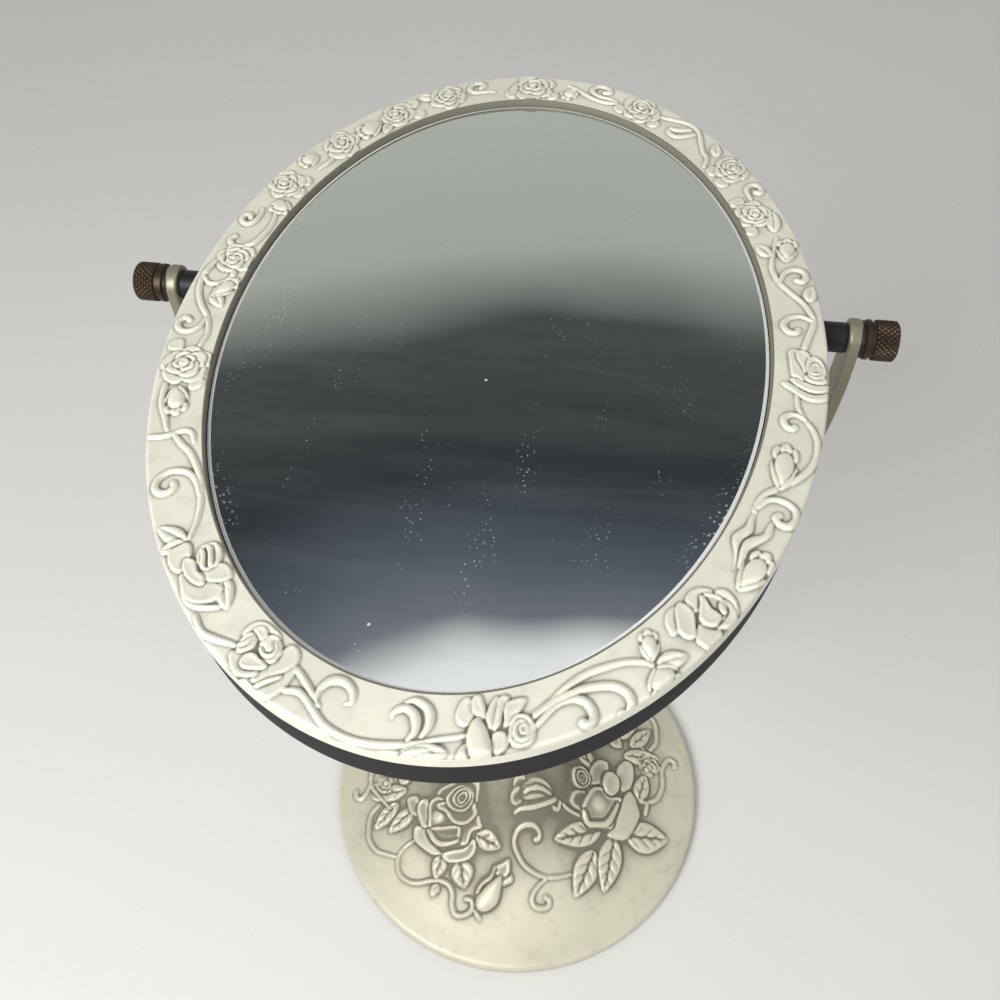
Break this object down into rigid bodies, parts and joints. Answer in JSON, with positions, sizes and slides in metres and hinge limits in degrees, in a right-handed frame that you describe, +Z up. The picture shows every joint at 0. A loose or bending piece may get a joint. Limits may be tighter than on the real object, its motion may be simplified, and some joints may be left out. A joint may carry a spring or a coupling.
{
  "type": "vanity mirror",
  "caption": "Table mirror: oval glass in an ornamented pewter frame that tilts between the arms of a U-shaped yoke, clamped by thumb knobs, on a flared round foot.",
  "frame": {"origin": "centre of the foot's felt underside, on the surface that the mirror stands on", "axes": "+Z up, +X to the viewer's right along the tilt axis, +Y away from the viewer; the mirror is stored tilted flat with its glass up and its lower end towards the viewer, as pictured"},
  "size_m": [0.177, 0.2, 0.2942],
  "materials": {
    "pewter": "satin",
    "pewter_bar": "satin",
    "plain_steel": "satin",
    "felt": "matte",
    "silvered_glass": "polished",
    "board": "matte",
    "foam": "matte",
    "dark_shell": "satin",
    "blackened_steel": "satin",
    "insert_brass": "satin",
    "black_nylon": "satin",
    "bronze": "satin"
  },
  "bodies": {
    "stand": {"foot_casting": "pewter", "foot_weight": "plain_steel", "felt_pad": "felt", "lower_collar": "pewter", "stem_column": "pewter", "upper_collar": "pewter", "yoke": "pewter_bar", "tie_rod": "plain_steel", "tie_washer": "plain_steel", "tie_nut": "plain_steel", "cap_nut": "pewter"},
    "mirror_head": {"front_bezel": "pewter", "mirror_glass": "silvered_glass", "backing_board": "board", "foam_pad": "foam", "back_shell": "dark_shell", "back_screws": "blackened_steel", "left_pivot_insert": "insert_brass", "right_pivot_insert": "insert_brass", "left_spacer": "black_nylon", "right_spacer": "black_nylon"},
    "left_knob": {"left_knob_grip": "bronze", "left_knob_stud": "plain_steel", "left_friction_washer": "black_nylon"},
    "right_knob": {"right_knob_grip": "bronze", "right_knob_stud": "plain_steel", "right_friction_washer": "black_nylon"}
  },
  "joints": [
    {"name": "mirror_tilt", "type": "hinge", "parent": "stand", "child": "mirror_head", "pos_m": [0, 0, 0.286], "axis": [1, 0, 0], "continuous": true},
    {"name": "left_knob_turn", "type": "hinge", "parent": "mirror_head", "child": "left_knob", "pos_m": [-0.085, 0, 0.286], "axis": [-1, 0, 0], "range_deg": [0, 360]},
    {"name": "right_knob_turn", "type": "hinge", "parent": "mirror_head", "child": "right_knob", "pos_m": [0.085, 0, 0.286], "axis": [1, 0, 0], "range_deg": [0, 360]}
  ]
}
